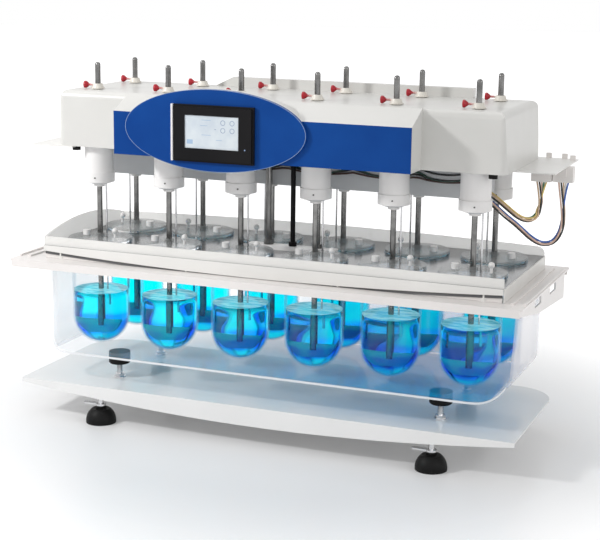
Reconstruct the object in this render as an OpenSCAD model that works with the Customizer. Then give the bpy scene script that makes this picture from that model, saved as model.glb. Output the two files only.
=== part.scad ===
// Dissolution tester: twelve paddle stations in two rows of six, hung from a
// drive head that lifts straight up, over glass vessels in one clear water bath.
// X runs along the rows, the touch display faces -Y, and Z = 0 is the bench top.

/* [Stations] */
// Distance between neighbouring stations, along and across
pitch = 142; // [136:1:150]
// Diameter of a paddle shaft
shaft_d = 10; // [9.4:0.1:10.4]
// Length of shaft that stands above the head's top
shaft_above = 49; // [30:1:70]
// Width of a paddle blade along its top edge
paddle_w = 74.5; // [60:0.5:76]
// Height of a paddle blade
paddle_h = 19; // [16:0.5:20]
// Thickness of a paddle blade
paddle_t = 4; // [3:0.5:6]
// Radius of the circle that a blade is cut from
paddle_r = 41.5; // [40:0.5:43]
// Height of the blade over the inside bottom of its vessel
paddle_gap = 25; // [23:0.5:27]
// Diameter of a sampling tube
tube_d = 3.2; // [2:0.2:4]
// Sideways distance of a sampling tube from its shaft
tube_offset = 14; // [12:0.5:18]

/* [Vessels and covers] */
// Outside diameter of a vessel
vessel_d = 106; // [100:0.5:110]
// Thickness of the glass
glass_t = 2.5; // [2:0.1:4]
// Height of a vessel from its bottom to the top of its rim
vessel_h = 196; // [180:1:208]
// Width that the rim stands out past the wall
rim_w = 6; // [4:0.5:8]
// Thickness of the rim
rim_t = 4; // [3:0.5:6]
// Thickness of a cover's disc
cover_t = 4; // [3:0.5:6]
// Height of a cover's ball knob above the disc
knob_h = 19; // [14:1:24]
// Diameter of a cover's ball knob
knob_d = 11; // [8:0.5:12]

/* [Bath and stand] */
// Underside of the base plate above the bench
stand_h = 67; // [60:1:80]
// Thickness of the base plate
plate_t = 3; // [2:0.5:5]
// Length of the base plate
plate_len = 934; // [900:2:960]
// Depth of the base plate from front to back
plate_depth = 324; // [320:2:350]
// Radius of the base plate's two rear corners
plate_corner_r = 72; // [20:1:90]
// Depth of the base plate's front flap at its ends
flap_end = 8; // [4:1:12]
// Depth of the base plate's front flap at its middle
flap_mid = 35; // [20:1:45]
// Distance of the levelling feet in from the plate's ends
foot_in = 151; // [120:1:180]
// Distance of the levelling feet in from the plate's long edges
foot_edge = 14; // [12:1:26]
// Diameter of a levelling foot
foot_d = 55; // [50:1:60]
// Height of a levelling foot's rubber
foot_rubber_h = 30; // [26:1:30]
// Diameter of a levelling foot's stem
stem_d = 10; // [8:0.5:12]
// Distance of the bath supports from the middle, along X
support_x = 311; // [260:1:340]
// Distance of the bath supports from the middle, along Y
support_y = 84; // [60:1:100]
// Gap between the base plate and the support pads
stud_h = 27; // [20:1:32]
// Diameter of a support pad
pad_d = 40; // [30:1:50]
// Height of a support pad
pad_h = 22; // [12:1:26]
// Wall and floor thickness of the water bath
bath_wall = 4; // [3:0.5:6]
// Distance of the bath's end walls from the last stations, at the top, on average
bath_end = 92; // [86:1:94]
// Distance of the bath's long wall from the nearest row, at the top
bath_side = 69; // [67:1:72]
// How far the bath's end walls draw in from top to bottom
bath_draft = 6; // [2:0.5:7]
// Radius of the bends between the bath's floor and its end walls
bath_lower_r = 46; // [30:1:55]
// Radius of the bath's upright corners
bath_corner_r = 75; // [50:1:90]
// Width of the bath's outward rim
bath_rim = 12; // [8:1:16]
// Gap between the bath's floor and the vessels
bath_clear = 7; // [5:1:20]

/* [Frame and tray] */
// Sheet thickness of the bath frame and the vessel tray
sheet_t = 3; // [2:0.5:4]
// Length of the bath frame
frame_len = 950; // [946:2:970]
// How far the bath, its frame and the base plate stand left of the middle
stand_left = 7; // [0:1:10]
// How far the frame's sheet overhangs its end flanges
frame_over = 8; // [3:1:14]
// Depth of the bath frame from front to back
frame_depth = 364; // [350:2:380]
// Depth of the frame's front and rear lips
frame_lip = 14; // [10:1:18]
// Depth of the frame's end flanges where they are cut away towards the front
flange_mid = 40; // [34:1:44]
// Depth of the frame's end flanges at the rear
flange_rear = 56; // [45:1:60]
// Length of a window in an end flange
window_len = 46; // [30:1:56]
// Height of a window in an end flange
window_h = 16; // [10:1:18]
// Height of the posts that carry the tray over the frame
post_h = 21; // [18:1:30]
// Diameter of the posts that carry the tray
post_d = 12; // [8:1:16]
// Distance of the tray's end from the last station
tray_end = 73; // [66:1:76]
// Distance of the tray's front and rear edges from the nearest row
tray_side = 77; // [72:1:80]
// Height of the tray's front band above the deck
band_h = 16; // [12:1:20]
// Depth of the tray's front skirt at its ends
skirt_end = 10; // [6:1:12]
// Depth of the tray's front skirt at its middle
skirt_mid = 23; // [14:1:23]
// Height of the tray's left flap at its middle
left_flap_h = 36; // [26:1:40]
// Height of the tray's rear flap at its middle
rear_flap_h = 24; // [18:1:30]

/* [Drive head] */
// Gap between the tray's deck and the head's underside
head_gap = 179; // [170:1:190]
// Height of the head
head_h = 101; // [95:1:110]
// Distance of the head's end from the last station, at the bottom
head_end = 61; // [56:1:68]
// How far each end of the head draws in towards its top
head_draft = 7; // [2:1:12]
// Distance of the head's front face from the front row
head_front = 41; // [39:1:46]
// Distance of the head's rear face from the rear row
head_rear = 53; // [48:1:60]
// Radius of the head's outer edges
head_r = 13; // [6:1:16]
// Wall thickness of the head's housing
head_wall = 3; // [2:0.5:4]
// Length of the console that stands forward of the head
console_len = 542; // [500:2:580]
// How far the console stands forward of the head
console_out = 53; // [40:1:60]
// Height of the console's upright front
console_h = 75; // [65:1:85]
// Thickness of the blue front panel
panel_t = 2; // [1:0.5:4]
// Thickness of the raised oval on the front panel
oval_t = 6; // [3:0.5:10]
// Length of the raised oval
oval_len = 336; // [300:2:370]
// Height of the raised oval
oval_h = 140; // [120:1:150]
// Distance of the oval's centre left of the middle
oval_left = 77; // [60:1:90]
// Height of the oval's centre above the head's underside
oval_up = 51; // [45:1:60]
// Depth of the pod behind the oval
pod_depth = 26; // [12:1:30]
// Length of the display's bezel
bezel_len = 149; // [130:1:160]
// Height of the display's bezel
bezel_h = 97; // [85:1:105]
// Depth of the display's bezel
bezel_t = 9; // [6:1:16]
// Length of the display's screen
screen_len = 100; // [80:1:110]
// Height of the display's screen
screen_h = 56; // [45:1:62]
// Height of the raised cover along the head's rear edge
hump_h = 17; // [10:1:24]
// Left end of the raised cover's top, along X
hump_left = -165; // [-200:1:-100]
// Right end of the raised cover, along X
hump_right = 298; // [200:1:310]

/* [Drive] */
// Diameter of a spindle housing
hub_d = 52; // [46:1:54]
// Diameter of the ring low on a spindle housing
hub_ring_d = 56; // [54:1:60]
// Length of a spindle housing below the head
hub_len = 76; // [70:1:84]
// Diameter of a hollow spindle
sleeve_d = 14; // [13:0.5:16]
// Outside diameter of a spindle bearing
bearing_d = 28; // [24:1:30]
// Height of a spindle bearing
bearing_h = 9; // [7:0.5:10]
// Diameter of a spindle pulley
pulley_d = 44; // [36:1:48]
// Width of the drive belt
belt_w = 10; // [8:1:14]
// Thickness of the drive belt
belt_t = 2; // [1.5:0.5:3]
// Diameter of the motor's pulley
motor_pulley_d = 32; // [24:1:34]
// Width of the square drive motor
motor_w = 56; // [42:1:57]
// Height of the drive motor
motor_h = 50; // [40:1:54]
// Diameter of a thumbscrew's stem
screw_d = 4; // [3:0.5:5]

/* [Lift] */
// How far the head lifts
lift_travel = 200; // [190:1:205]
// Distance of each guide tube from the middle
guide_x = 47; // [40:1:55]
// Outside diameter of a guide tube
guide_d = 12; // [11:0.5:14]
// Diameter of a guide rod
guide_rod_d = 8; // [7:0.5:9]
// Outside diameter of the black gas strut
strut_d = 9; // [8:0.5:11]
// Diameter of the gas strut's rod
strut_rod_d = 5; // [4:0.5:6]

/* [Hidden] */
$fn = 64;
columns = 6;
rows = 2;
stations = columns * rows;
run_clear = 0.05;
seat_clear = 0.3;
free_clear = 1;
cut = 1;

// Station n counts along the front row first, then along the rear row.
function station_column(n) = (n - 1) % columns;
function station_row(n) = floor((n - 1) / columns);
function station_x(n) = (station_column(n) - (columns - 1) / 2) * pitch;
function station_y(n) = (station_row(n) - (rows - 1) / 2) * pitch;
// The sampling tube stands right of the shaft in front and left of it behind.
function tube_side(n) = station_row(n) == 0 ? 1 : -1;

last_x = (columns - 1) / 2 * pitch;
row_y = (rows - 1) / 2 * pitch;
shaft_r = shaft_d / 2;
vessel_r = vessel_d / 2;

// Heights, from the bench up
plate_top = stand_h + plate_t;
pad_z = plate_top + stud_h;
bath_z = pad_z + pad_h;
vessel_z = bath_z + bath_wall + bath_clear;
vessel_top = vessel_z + vessel_h;
deck_z = vessel_top - rim_t;
frame_top = deck_z - sheet_t - post_h;
bath_top = frame_top - sheet_t;
cover_z = vessel_top + seat_clear;
head_z = deck_z + head_gap;
head_top = head_z + head_h;
paddle_z = vessel_z + glass_t + paddle_gap;
belt_z = head_z + 64;
shaft_top = head_top + shaft_above;

// Plan sizes
tray_x = last_x + tray_end;
tray_y = row_y + tray_side;
bath_x = last_x + bath_end;
bath_y = row_y + bath_side;
frame_hole_x = last_x + vessel_r + 8;
head_x = last_x + head_end;
head_front_y = -row_y - head_front;
head_rear_y = row_y + head_rear;
head_depth = head_rear_y - head_front_y;
head_mid_y = (head_rear_y + head_front_y) / 2;
foot_x = plate_len / 2 - foot_in;
foot_y = plate_depth / 2 - foot_edge;
console_y = head_front_y - console_out;
panel_y = console_y - panel_t;
oval_y = panel_y - oval_t;
screw_reach = sleeve_d / 2 + 20;
hole_r = vessel_r + free_clear;

// Bottom channel of the head, between the rows
chassis_t = 4;
spigot_d = 40;
beam_y = 14;
beam_depth = 24;
beam_h = 64;
beam_wall = 2;
beam_left = -last_x - 20;
beam_right = last_x + 4;

// Side wings and the two plug connectors under the right one
wing_t = 2.5;
left_wing_out = 56;
right_wing_out = frame_len / 2 + stand_left - head_x;
wing_in = 30;
wing_depth = 190;
connector_size = [34, 18, 27];
connector_places = [[head_x + 22, 50], [head_x + 58, 58]];
plug_z = head_z - wing_t - connector_size[2];

// Wiring routes from the channel's front to the connectors, by how the leads hang
harness_d = 10;
lead_x = last_x - 12;
function hang(points) = [for (p = points) [head_x + p[0], p[1], head_z + p[2]]];
function lead_start(drop) = [[lead_x, beam_y, head_z - drop], [lead_x, beam_y - 7, head_z - drop]];
function plug_end(k) = [
    [connector_places[k][0], connector_places[k][1], plug_z - 16],
    [connector_places[k][0], connector_places[k][1], plug_z]];
inner_route = concat(
    lead_start(41),
    hang([[-70, 2, -42], [-62, 0, -46], [-50, 0, -53], [-37, 0, -62], [-23, 2, -73], [-10, 7, -84],
          [1, 15, -91], [11, 26, -93], [17, 38, -89], [20, 46, -79], [22, 50, -64]]),
    plug_end(0));
outer_route = concat(
    lead_start(53),
    hang([[-70, 2, -54], [-62, 0, -58], [-51, 0, -66], [-39, 0, -76], [-26, 2, -87], [-12, 6, -98],
          [0, 13, -110], [10, 24, -122], [21, 36, -132], [31, 48, -137], [43, 56, -135], [53, 58, -124],
          [59, 58, -107], [60, 58, -85], [59, 58, -63]]),
    plug_end(1));

VESSELS = [for (n = [1:stations]) str("vessel_", n)];
COVERS = [for (n = [1:stations]) str("cover_", n)];
SPINDLES = [for (n = [1:stations]) str("spindle_", n)];
FEET = [for (n = [1:4]) str("foot_", n)];
FIXED = ["base_plate", "bath_supports", "water_bath", "bath_frame", "vessel_tray", "lift_tubes"];
HEAD = ["head_housing", "head_chassis", "front_panel", "touch_display", "spindle_housings",
        "drive_belt", "drive_motor", "motor_pulley", "lift_rods", "sampling_tubes",
        "side_wings", "harness_connectors", "harness_inner", "harness_outer"];

// Helpers

// Rectangle with round corners, centred.
module round_rect(length, depth, r) {
    square([length - 2 * r, depth], center = true);
    square([length, depth - 2 * r], center = true);
    for (sx = [-1, 1], sy = [-1, 1])
        translate([sx * (length / 2 - r), sy * (depth / 2 - r)]) circle(r);
}

// Trapezoid that stands on y = 0, with round corners at its top.
module round_top(bottom, top, height, r) {
    b = bottom / 2;
    t = top / 2;
    side = norm([b - t, height]);
    cx = b - (r * side + (height - r) * (b - t)) / height;
    touch = [cx + r * height / side, height - r + r * (b - t) / side];
    polygon([[-b, 0], [b, 0], touch, [cx, height], [-cx, height], [-touch[0], touch[1]]]);
    for (sx = [-1, 1]) translate([sx * cx, height - r]) circle(r);
}

// Extrudes a front view, drawn as X and Z, through a depth centred on Y = 0.
module front_view(depth) {
    rotate([90, 0, 0]) linear_extrude(depth, center = true) children();
}

// Extrudes a side view, drawn as Y and Z, through a length centred on X = 0.
module side_view(length) {
    rotate([90, 0, 90]) linear_extrude(length, center = true) children();
}

// Plate bounded by a straight edge on y = 0 and an arc that rises from h_end to h_mid.
module arched_edge(length, h_end, h_mid) {
    rise = h_mid - h_end;
    r = (length * length / 4 + rise * rise) / (2 * rise);
    intersection() {
        translate([-length / 2, 0]) square([length, h_mid]);
        translate([0, h_mid - r]) circle(r, $fn = 256);
    }
}

// Repeats its children at the four corners of a rectangle.
module at_corners(x, y) {
    for (sx = [-1, 1], sy = [-1, 1]) translate([sx * x, sy * y, 0]) children();
}

// Repeats its children at every station.
module at_stations() {
    for (n = [1:stations]) translate([station_x(n), station_y(n), 0]) children();
}

// Direction of a route at point i, and a ring of points square to it.
function route_dir(p, i) =
    let (a = p[max(i - 1, 0)], b = p[min(i + 1, len(p) - 1)]) (b - a) / norm(b - a);
function route_ring(p, i, r, sides) =
    let (d = route_dir(p, i), u = cross(d, [0, 1, 1]), v = u / norm(u), w = cross(d, v))
    [for (k = [0:sides - 1]) p[i] + r * (v * cos(360 * k / sides) + w * sin(360 * k / sides))];

// Closed tube along a route of points.
module route_tube(p, d, sides = 10) {
    last = len(p) - 1;
    points = [for (i = [0:last]) each route_ring(p, i, d / 2, sides)];
    walls = [for (i = [0:last - 1], k = [0:sides - 1])
        [i * sides + k, i * sides + (k + 1) % sides,
         (i + 1) * sides + (k + 1) % sides, (i + 1) * sides + k]];
    start = [[for (k = [sides - 1:-1:0]) k]];
    end = [[for (k = [0:sides - 1]) last * sides + k]];
    polyhedron(points, concat(walls, start, end), convexity = 6);
}

// Stand

// Folded sheet with a bowed front flap and round rear corners, on four welded nuts.
nut_d = 20;
nut_h = 14;
module base_plate() {
    color("whitesmoke") difference() {
        union() {
            translate([-stand_left, 0, stand_h]) linear_extrude(plate_t) base_outline();
            translate([-stand_left, (plate_t - plate_depth) / 2, plate_top]) mirror([0, 0, 1])
                front_view(plate_t) arched_edge(plate_len, flap_end, flap_mid);
            at_corners(foot_x, foot_y) translate([0, 0, stand_h - nut_h])
                cylinder(h = nut_h, d = nut_d, $fn = 6);
        }
        at_corners(foot_x, foot_y) translate([0, 0, stand_h - nut_h - cut])
            cylinder(h = nut_h + plate_t + 2 * cut, r = stem_d / 2 + run_clear);
    }
}

module base_outline() {
    r = plate_corner_r;
    translate([-plate_len / 2, -plate_depth / 2]) square([plate_len, plate_depth - r]);
    translate([r - plate_len / 2, -plate_depth / 2]) square([plate_len - 2 * r, plate_depth]);
    for (sx = [-1, 1]) translate([sx * (plate_len / 2 - r), plate_depth / 2 - r]) circle(r);
}

// Levelling foot: domed rubber on a steel stem, with a thin lock lever on the stem.
lever_z = foot_rubber_h + 2;
lever_t = 3;
lever_len = 30;
module foot(n) {
    x = (n % 2 == 1 ? -1 : 1) * foot_x;
    y = (n <= 2 ? -1 : 1) * foot_y;
    r = foot_d / 2;
    neck = stem_d / 2 + 4;
    socket = 14;
    dome_z = 4;
    translate([x, y, 0]) {
        color("black") rotate_extrude() difference() {
            union() {
                square([r, dome_z]);
                intersection() {
                    translate([0, dome_z]) circle(r);
                    translate([0, dome_z]) square([r, foot_rubber_h - 4 - dome_z]);
                }
                square([neck, foot_rubber_h]);
            }
            translate([0, socket]) square([stem_d / 2 + run_clear, foot_rubber_h]);
        }
        color("silver") {
            translate([0, 0, socket + run_clear])
                cylinder(h = plate_top - socket - run_clear, d = stem_d);
        }
        color("silver") difference() {
            union() {
                translate([0, 0, lever_z]) cylinder(h = lever_t, d = stem_d + 9);
                translate([-lever_len, -5, lever_z]) cube([lever_len, 10, lever_t]);
                translate([-lever_len, 0, lever_z]) cylinder(h = lever_t, d = 10);
            }
            translate([0, 0, lever_z - cut])
                cylinder(h = lever_t + 2 * cut, d = stem_d + 2 * run_clear);
        }
    }
}

// Four rubber pads on steel studs, which carry the bath.
module bath_supports() {
    socket = pad_h / 2;
    stud_d = 10;
    at_corners(support_x, support_y) {
        color("silver") translate([0, 0, plate_top]) {
            cylinder(h = stud_h + socket - run_clear, d = stud_d);
            cylinder(h = 7, d = 19, $fn = 6);
            cylinder(h = 1.5, d = 22);
        }
        color("black") translate([0, 0, pad_z]) difference() {
            union() {
                translate([0, 0, 2]) cylinder(h = pad_h - 2, d = pad_d);
                cylinder(h = 2, d1 = pad_d - 4, d2 = pad_d);
            }
            translate([0, 0, -cut]) cylinder(h = socket + cut, d = stud_d + 2 * run_clear);
        }
    }
}

// Bath

// The tub's outer form, or its inner form when inset by the wall.
module tub_form(inset) {
    floor_z = bath_z + inset;
    height = bath_top - floor_z;
    length = 2 * (bath_x - inset);
    depth = 2 * (bath_y - inset);
    intersection() {
        translate([0, 0, bath_top]) mirror([0, 0, 1]) front_view(depth + 2 * cut)
            round_top(length, length - 2 * bath_draft, height, bath_lower_r - inset);
        translate([0, 0, floor_z - cut]) linear_extrude(height + 2 * cut)
            round_rect(length + 2 * cut, depth, bath_corner_r - inset);
    }
}

// Clear tub with round upright corners: a floor bent up into the end walls, flat front and rear
// walls, and an outward rim.
module water_bath() {
    color([0.85, 0.92, 0.95, 0.4]) translate([-stand_left, 0, 0]) difference() {
        union() {
            tub_form(0);
            translate([0, 0, bath_top - bath_wall]) linear_extrude(bath_wall)
                round_rect(2 * (bath_x + bath_rim), 2 * (bath_y + bath_rim), bath_corner_r + bath_rim);
        }
        tub_form(bath_wall);
        translate([0, 0, bath_top - cut]) linear_extrude(2 * cut)
            round_rect(2 * (bath_x - bath_wall), 2 * (bath_y - bath_wall), bath_corner_r - bath_wall);
    }
}

// Sheet frame that lies on the bath's rim, with lips and windowed end flanges.
module bath_frame() {
    half = frame_len / 2;
    flange_x = half - frame_over - sheet_t / 2;
    window_y = [-34, 80];
    rib_w = 5;
    rib_h = 3;
    color("white") translate([-stand_left, 0, 0]) difference() {
        union() {
            translate([0, 0, frame_top - sheet_t]) linear_extrude(sheet_t) difference() {
                round_rect(frame_len, frame_depth, 4);
                translate([stand_left, 0])
                    square([2 * frame_hole_x, 2 * (bath_y - bath_wall)], center = true);
            }
            for (sy = [-1, 1]) translate([0, sy * (frame_depth - sheet_t) / 2, frame_top - frame_lip / 2])
                cube([frame_len - 8, sheet_t, frame_lip], center = true);
            for (sx = [-1, 1]) translate([sx * flange_x, 0, 0]) side_view(sheet_t) end_flange();
            for (sx = [-1, 1], inset = [rib_w / 2 + 2, 24]) translate([sx * (half - inset), 0, frame_top])
                cube([rib_w, frame_depth - 60, 2 * rib_h], center = true);
        }
        for (y = window_y) translate([0, y, frame_top - window_h / 2 - 9])
            cube([frame_len + 2 * cut, window_len, window_h], center = true);
    }
}

module end_flange() {
    d = frame_depth / 2 - 4;
    cut_len = 150;
    polygon([[-d, frame_top], [d, frame_top], [d, frame_top - flange_rear],
             [cut_len - d, frame_top - flange_mid], [-d, frame_top - frame_lip]]);
}

// Vessel tray on posts: a deck with round holes, a front band over a bowed skirt,
// an arched left flap and a bowed rear flap.
skirt_out = 3;
module vessel_tray() {
    color("white") difference() {
        union() {
            translate([0, 0, deck_z - sheet_t]) linear_extrude(sheet_t)
                square([2 * tray_x, 2 * tray_y], center = true);
            translate([-tray_x, -tray_y, deck_z - sheet_t]) cube([2 * tray_x, sheet_t, band_h + sheet_t]);
            translate([0, -tray_y - skirt_out + sheet_t / 2, deck_z]) mirror([0, 0, 1])
                front_view(sheet_t) arched_edge(2 * tray_x, skirt_end, skirt_mid);
            translate([-tray_x, -tray_y - skirt_out, deck_z - sheet_t]) cube([2 * tray_x, skirt_out + cut, sheet_t]);
            translate([sheet_t / 2 - tray_x, 0, deck_z - sheet_t])
                side_view(sheet_t) arched_edge(2 * tray_y, band_h + sheet_t, left_flap_h + sheet_t);
            translate([0, tray_y - sheet_t / 2, deck_z - sheet_t]) front_view(sheet_t) rear_flap();
            tray_posts();
        }
        at_stations() translate([0, 0, deck_z - sheet_t - cut]) cylinder(h = sheet_t + 2 * cut, r = hole_r);
    }
}

module rear_flap() {
    h = band_h + sheet_t;
    r = 12;
    difference() {
        arched_edge(2 * tray_x, h, rear_flap_h + sheet_t);
        translate([tray_x - r, h - r]) difference() {
            square(2 * r);
            circle(r);
        }
    }
}

module tray_posts() {
    y = bath_y - bath_wall + post_d / 2;
    for (x = [-last_x - 40, -pitch, pitch, last_x + 40], sy = [-1, 1])
        translate([x, sy * y, frame_top]) cylinder(h = post_h, d = post_d);
}

// Glass vessel with a round bottom, hung by its rim.
module vessel(n) {
    inner = vessel_r - glass_t;
    centre_z = vessel_z + vessel_r;
    color([0.8, 0.93, 1, 0.35]) translate([station_x(n), station_y(n), 0]) rotate_extrude() {
        difference() {
            union() {
                translate([0, centre_z]) square([vessel_r, vessel_top - centre_z]);
                translate([0, centre_z]) circle(vessel_r);
                translate([0, vessel_top - rim_t]) square([vessel_r + rim_w, rim_t]);
            }
            translate([0, centre_z]) circle(inner);
            translate([0, centre_z]) square([inner, vessel_h]);
            translate([-2 * vessel_r, 0]) square([2 * vessel_r, 2 * vessel_top]);
        }
    }
}

// Lift

// Two steel guide tubes and a black gas strut, each in a flange on the deck.
tube_drop = 22;
tube_top = head_top - tube_drop;
boss_h = 16;
module lift_tubes() {
    for (sx = [-1, 1]) color("lightgrey") translate([sx * guide_x, 0, 0])
        lift_tube(guide_d, guide_rod_d);
    color("black") lift_tube(strut_d, strut_rod_d);
    color("white") foot_bar();
}

// White bar on the deck that ties the three tubes together.
module foot_bar() {
    length = 2 * guide_x + 76;
    width = 2 * (row_y - vessel_r - rim_w - free_clear);
    hole = 2 * run_clear + 16;
    translate([0, 0, deck_z]) difference() {
        linear_extrude(8) round_rect(length, width, 4);
        for (sx = [-1, 1]) translate([sx * guide_x, 0, -cut]) cylinder(h = 10, d = guide_d + hole - 10);
        translate([0, 0, -cut]) cylinder(h = 10, d = strut_d + hole - 10);
    }
}

module lift_tube(outside, rod) {
    floor_h = 4;
    translate([0, 0, deck_z]) difference() {
        union() {
            cylinder(h = tube_top - deck_z, d = outside);
            cylinder(h = boss_h, d = outside + 6);
        }
        translate([0, 0, floor_h]) cylinder(h = tube_top, d = rod + 2 * run_clear);
    }
}

// Bridge under the head's top, with the three rods that slide in the tubes.
module lift_rods() {
    bridge_t = 8;
    bridge_w = 30;
    bridge_z = head_top - head_wall - bridge_t;
    reach = deck_z + boss_h + 4;
    color("lightgrey") {
        translate([0, 0, bridge_z]) linear_extrude(bridge_t)
            round_rect(2 * guide_x + bridge_w, bridge_w, 8);
        for (sx = [-1, 1]) translate([sx * guide_x, 0, reach])
            cylinder(h = bridge_z - reach, d = guide_rod_d);
        translate([0, 0, reach]) cylinder(h = bridge_z - reach, d = strut_rod_d);
    }
}

// Drive head

// The head's main form, inset by a wall for its hollow.
module head_form(inset) {
    length = 2 * (head_x - inset);
    depth = head_depth - 2 * inset;
    height = head_h - inset;
    r = head_r - inset;
    translate([0, head_mid_y, head_z]) intersection() {
        linear_extrude(height) round_rect(length, depth, r);
        front_view(depth) round_top(length, length - 2 * head_draft, height, r);
        side_view(length) round_top(depth, depth, height, r);
    }
}

// The console that carries the front panel, inset by a wall for its hollow.
module console_form(inset) {
    back = head_front_y + 2 * head_wall;
    front = console_y + inset;
    slope = (head_h - console_h) / console_out;
    low = head_z + console_h - inset;
    translate([0, 0, 0]) side_view(console_len - 2 * inset)
        polygon([[back, head_z], [front, head_z], [front, low], [head_front_y, low + slope * (console_out - inset)],
                 [back, low + slope * (console_out - inset)]]);
}

// Points of an oval of the given length and height.
function oval_points(length, height, count = 96) =
    [for (k = [0:count - 1]) [length / 2 * cos(360 * k / count), height / 2 * sin(360 * k / count)]];

// The oval, drawn through a depth that starts at y and runs back.
module oval_block(y, depth, grow = 0) {
    translate([-oval_left, y + depth / 2, head_z + oval_up])
        front_view(depth) polygon(oval_points(oval_len + 2 * grow, oval_h + 2 * grow));
}

// Moulded housing: the main cover, the console with its oval pod, and the raised rear cover.
spindle_hole_r = sleeve_d / 2 + 2;
module head_housing() {
    color("whitesmoke") {
        difference() {
            union() {
                head_form(0);
                console_form(0);
                oval_block(console_y, pod_depth, -2);
                rear_hump();
            }
            translate([0, 0, -cut]) head_form(head_wall);
            head_form(head_wall);
            translate([0, 0, -cut]) console_form(head_wall);
            console_form(head_wall);
            at_stations() translate([0, 0, head_top - head_r]) cylinder(h = 2 * head_r, r = spindle_hole_r);
        }
        screw_posts();
    }
}

// Posts that hang from the housing's top, for the screws that hold the chassis.
module screw_posts() {
    post = 10;
    x = head_x - head_draft - head_r - post / 2;
    low = head_z + chassis_t;
    for (sx = [-1, 1], y = [head_front_y + head_r + post / 2, head_rear_y - head_r - post / 2])
        translate([sx * x, y, low]) cylinder(h = head_top - head_wall / 2 - low, d = post);
}

// The raised cover starts behind the circle that the rear thumbscrews turn in.
module rear_hump() {
    slope = 38;
    back = head_rear_y - head_r / 2;
    front = row_y + screw_reach + 1.5;
    translate([0, (front + back) / 2, head_top - head_wall / 2]) front_view(back - front)
        polygon([[hump_left - slope, 0], [hump_right, 0], [hump_right, hump_h + head_wall / 2],
                 [hump_left, hump_h + head_wall / 2]]);
}

// Bottom plate of the head, with the channel between the rows and two rubber stops.
stop_x = head_x - 27;
stop_y = head_front_y + 19;
stop_d = 15;
module head_chassis() {
    gap = head_wall + seat_clear;
    color("lightgrey") difference() {
        union() {
            translate([0, 0, head_z]) linear_extrude(chassis_t) {
                translate([0, head_mid_y])
                    round_rect(2 * (head_x - gap) - head_draft, head_depth - 2 * gap, head_r - gap);
                translate([gap - console_len / 2, console_y + gap])
                    square([console_len - 2 * gap, console_out + 2 * head_wall]);
            }
            translate([beam_left, beam_y, head_z - beam_h])
                cube([beam_right - beam_left, beam_depth, beam_h + cut]);
            for (sx = [-1, 1]) translate([sx * stop_x, stop_y, head_z - 9]) cylinder(h = 9 + cut, d = stop_d);
        }
        translate([beam_left + beam_wall, beam_y + beam_wall, head_z - beam_h - cut])
            cube([beam_right - beam_left - 2 * beam_wall, beam_depth - 2 * beam_wall, beam_h]);
        at_stations() translate([0, 0, head_z - cut])
            cylinder(h = chassis_t + 2 * cut, d = spigot_d + 2 * run_clear);
        for (x = [-guide_x, 0, guide_x]) translate([x, 0, head_z - cut])
            cylinder(h = chassis_t + 2 * cut, d = guide_d + 2 * free_clear);
    }
}

// Blue front panel with its raised oval.
module front_panel() {
    color([0.06, 0.25, 0.57]) {
        translate([-console_len / 2, panel_y, head_z]) cube([console_len, panel_t, console_h]);
        oval_block(oval_y, oval_t);
    }
}

// Touch display: a black bezel with a screen let into it.
module touch_display() {
    bevel = 3;
    recess = 1.5;
    screen_t = 4;
    screen_x = -2;
    screen_z = 3;
    x = -oval_left + 2;
    z = head_z + oval_up - 5;
    translate([x, oval_y, z]) {
        color("black") difference() {
            union() {
                translate([0, -(bezel_t - bevel) / 2, 0]) cube([bezel_len, bezel_t - bevel, bezel_h], center = true);
                translate([0, -bezel_t + bevel / 2, 0])
                    cube([bezel_len - 2 * bevel, bevel, bezel_h - 2 * bevel], center = true);
            }
            translate([screen_x, -bezel_t, screen_z])
                cube([screen_len, 2 * (screen_t + recess), screen_h], center = true);
        }
        color("gainsboro") translate([screen_x, screen_t / 2 - bezel_t + recess - run_clear, screen_z])
            cube([screen_len - 2 * run_clear, screen_t, screen_h - 2 * run_clear], center = true);
    }
}

// White spindle housings under the head, each with two ball bearings.
hub_neck_d = 20;
lower_bearing_z = head_z - hub_len + 19;
upper_bearing_z = head_z + 1;
tube_seat_z = lower_bearing_z - 3;
module spindle_housings() {
    spacer_z = lower_bearing_z + bearing_h + 2 * run_clear;
    spacer_h = upper_bearing_z - spacer_z;
    for (n = [1:stations]) translate([station_x(n), station_y(n), 0]) {
        color("white") difference() {
            housing_body();
            translate([tube_side(n) * tube_offset, 0, head_z - hub_len - cut])
                cylinder(h = tube_seat_z - head_z + hub_len + cut, d = tube_d + 2 * run_clear);
        }
        color("silver") {
            for (z = [lower_bearing_z, upper_bearing_z]) translate([0, 0, z + run_clear])
                ring(bearing_d / 2, sleeve_d / 2 + run_clear, bearing_h);
            translate([0, 0, spacer_z]) ring(bearing_d / 2, sleeve_d / 2 + free_clear, spacer_h);
        }
    }
}

module housing_body() {
    ring_z = head_z - hub_len + 9;
    ring_h = 18;
    neck_h = 3;
    spigot_h = 12;
    rotate_extrude() difference() {
        union() {
            translate([0, ring_z]) square([hub_d / 2, head_z - ring_z]);
            translate([0, ring_z]) square([hub_ring_d / 2, ring_h]);
            polygon([[0, head_z - hub_len], [hub_neck_d / 2, head_z - hub_len],
                     [hub_neck_d / 2, head_z - hub_len + neck_h], [hub_ring_d / 2, ring_z], [0, ring_z]]);
            translate([0, head_z]) square([spigot_d / 2, spigot_h]);
        }
        translate([0, head_z - hub_len - cut]) square([sleeve_d / 2 + free_clear, hub_len + spigot_h + 2 * cut]);
        translate([0, lower_bearing_z]) square([bearing_d / 2 + run_clear, hub_len]);
    }
}

// Plain ring from its outer and inner radius.
module ring(outer, inner, height) {
    difference() {
        cylinder(h = height, r = outer);
        translate([0, 0, -cut]) cylinder(h = height + 2 * cut, r = inner);
    }
}

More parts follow.
